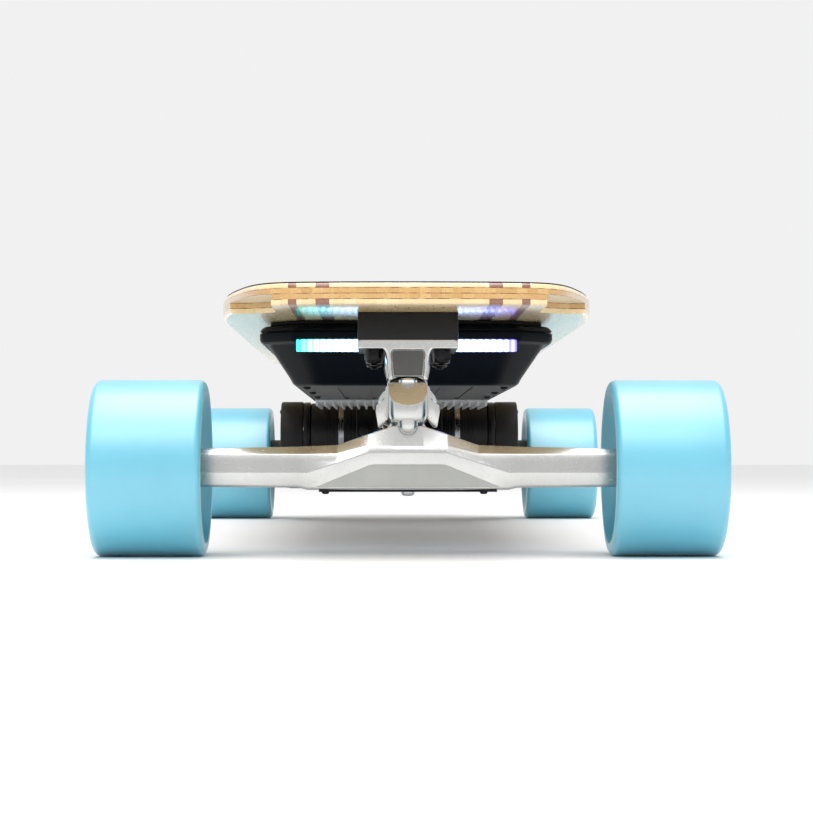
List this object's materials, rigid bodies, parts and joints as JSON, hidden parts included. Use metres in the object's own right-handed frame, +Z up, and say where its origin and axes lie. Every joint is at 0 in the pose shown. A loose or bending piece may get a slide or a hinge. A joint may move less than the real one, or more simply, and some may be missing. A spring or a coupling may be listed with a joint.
{
  "type": "electric skateboard",
  "caption": "Electric longboard: flat bamboo deck, double-pivot trucks, under-deck battery case with light bar, belt drive on the rear wheels.",
  "frame": {"origin": "on the ground, under the middle of the board's outline", "axes": "+Y from nose to tail, +Z up, +X to the right when the nose is looked at from in front"},
  "size_m": [0.381, 0.965, 0.1613],
  "materials": {
    "deck_bamboo": "lacquered vertical-grain bamboo ply with dark lengthwise inlay strips",
    "grip_sheet": "abrasive grit sheet, matt",
    "riser_rubber": "moulded, matt",
    "truck_aluminium": "satin, bead blasted and lightly polished",
    "steel": "zinc plated",
    "black_steel": "black oxide",
    "bushing_urethane": "cast urethane, satin",
    "case_plastic": "moulded, satin black",
    "case_gasket": "foam gasket, matt",
    "light_lens": "clear lens over a row of white and blue lights",
    "sink_aluminium": "extruded",
    "battery_wrap": "shrink wrap",
    "controller_case": "anodised",
    "wheel_urethane": "cast urethane, glossy light blue",
    "bearing_steel": "ground",
    "motor_paint": "satin black",
    "rotor_steel": "machined",
    "mount_black": "black anodised",
    "belt_rubber": "toothed belt, matt",
    "pulley_black": "glass-filled nylon",
    "cover_plastic": "moulded, textured",
    "button_metal": "turned, with a light ring",
    "cap_rubber": "moulded flap, matt"
  },
  "bodies": {
    "board": {"deck": "deck_bamboo", "grip_tape": "grip_sheet", "front_riser": "riser_rubber", "rear_riser": "riser_rubber", "front_baseplate": "truck_aluminium", "rear_baseplate": "truck_aluminium", "case_shell": "case_plastic", "case_lid": "case_gasket", "battery_pack": "battery_wrap", "motor_controller": "controller_case", "heat_sink": "sink_aluminium", "led_light_bar": "light_lens", "front_bolt_a": "black_steel", "front_bolt_b": "black_steel", "front_bolt_c": "black_steel", "front_bolt_d": "black_steel", "rear_bolt_a": "black_steel", "rear_bolt_b": "black_steel", "rear_bolt_c": "black_steel", "rear_bolt_d": "black_steel", "front_kingpin_upper": "steel", "front_bushing_upper": "bushing_urethane", "rear_kingpin_upper": "steel", "rear_bushing_upper": "bushing_urethane"},
    "front_arm": {"front_arm": "truck_aluminium", "front_kingpin_lower": "steel", "front_bushing_lower": "bushing_urethane"},
    "front_hanger": {"front_hanger": "truck_aluminium", "front_axle": "steel", "front_left_axle_nut": "steel", "front_right_axle_nut": "steel"},
    "front_left_wheel": {"front_left_wheel": "wheel_urethane", "front_left_bearings": "bearing_steel"},
    "front_right_wheel": {"front_right_wheel": "wheel_urethane", "front_right_bearings": "bearing_steel"},
    "rear_arm": {"rear_arm": "truck_aluminium", "rear_kingpin_lower": "steel", "rear_bushing_lower": "bushing_urethane"},
    "rear_hanger": {"rear_hanger": "truck_aluminium", "rear_axle": "steel", "rear_left_axle_nut": "steel", "rear_right_axle_nut": "steel", "left_motor_housing": "motor_paint", "left_motor_mount": "mount_black", "left_belt": "belt_rubber", "left_belt_cover": "cover_plastic", "right_motor_housing": "motor_paint", "right_motor_mount": "mount_black", "right_belt": "belt_rubber", "right_belt_cover": "cover_plastic"},
    "rear_left_wheel": {"rear_left_wheel": "wheel_urethane", "rear_left_bearings": "bearing_steel", "left_wheel_pulley": "pulley_black"},
    "rear_right_wheel": {"rear_right_wheel": "wheel_urethane", "rear_right_bearings": "bearing_steel", "right_wheel_pulley": "pulley_black"},
    "left_rotor": {"left_motor_rotor": "rotor_steel"},
    "right_rotor": {"right_motor_rotor": "rotor_steel"},
    "power_button": {"power_button": "button_metal"},
    "charge_cap": {"charge_cap": "cap_rubber"}
  },
  "joints": [
    {"name": "front_arm_tilt", "type": "hinge", "parent": "board", "child": "front_arm", "pos_m": [0, -0.382, 0.0935], "axis": [0, -0.8875, 0.4608], "range_deg": [-9, 9], "stiffness_Nm_per_rad": 90, "deforming": ["front_bushing_upper"]},
    {"name": "front_hanger_tilt", "type": "hinge", "parent": "front_arm", "child": "front_hanger", "pos_m": [0, -0.367, 0.058], "axis": [0, -0.9187, 0.395], "range_deg": [-9, 9], "stiffness_Nm_per_rad": 90, "deforming": ["front_bushing_lower"]},
    {"name": "rear_arm_tilt", "type": "hinge", "parent": "board", "child": "rear_arm", "pos_m": [0, 0.382, 0.0935], "axis": [0, 0.8875, 0.4608], "range_deg": [-9, 9], "stiffness_Nm_per_rad": 90, "deforming": ["rear_bushing_upper"]},
    {"name": "rear_hanger_tilt", "type": "hinge", "parent": "rear_arm", "child": "rear_hanger", "pos_m": [0, 0.367, 0.058], "axis": [0, 0.9187, 0.395], "range_deg": [-9, 9], "stiffness_Nm_per_rad": 90, "deforming": ["rear_bushing_lower"]},
    {"name": "front_left_wheel_spin", "type": "hinge", "parent": "front_hanger", "child": "front_left_wheel", "pos_m": [-0.1555, -0.403, 0.0535], "axis": [1, 0, 0], "continuous": true},
    {"name": "front_right_wheel_spin", "type": "hinge", "parent": "front_hanger", "child": "front_right_wheel", "pos_m": [0.1555, -0.403, 0.0535], "axis": [1, 0, 0], "continuous": true},
    {"name": "rear_left_wheel_spin", "type": "hinge", "parent": "rear_hanger", "child": "rear_left_wheel", "pos_m": [-0.1555, 0.403, 0.0535], "axis": [1, 0, 0], "continuous": true},
    {"name": "rear_right_wheel_spin", "type": "hinge", "parent": "rear_hanger", "child": "rear_right_wheel", "pos_m": [0.1555, 0.403, 0.0535], "axis": [1, 0, 0], "continuous": true},
    {"name": "left_rotor_spin", "type": "hinge", "parent": "rear_hanger", "child": "left_rotor", "pos_m": [-0.08, 0.328, 0.08], "axis": [1, 0, 0], "continuous": true},
    {"name": "right_rotor_spin", "type": "hinge", "parent": "rear_hanger", "child": "right_rotor", "pos_m": [0.08, 0.328, 0.08], "axis": [1, 0, 0], "continuous": true},
    {"name": "power_button_press", "type": "slide", "parent": "board", "child": "power_button", "axis": [0, -1, 0], "range_m": [0, 0.0015], "stiffness_N_per_m": 600},
    {"name": "charge_cap_open", "type": "hinge", "parent": "board", "child": "charge_cap", "pos_m": [0.036, 0.2799, 0.1354], "axis": [1, 0, 0], "range_deg": [0, 95]}
  ],
  "couplings": [
    {"joint": "left_rotor_spin", "follows": "rear_left_wheel_spin", "ratio": 1.8125},
    {"joint": "right_rotor_spin", "follows": "rear_right_wheel_spin", "ratio": 1.8125}
  ]
}
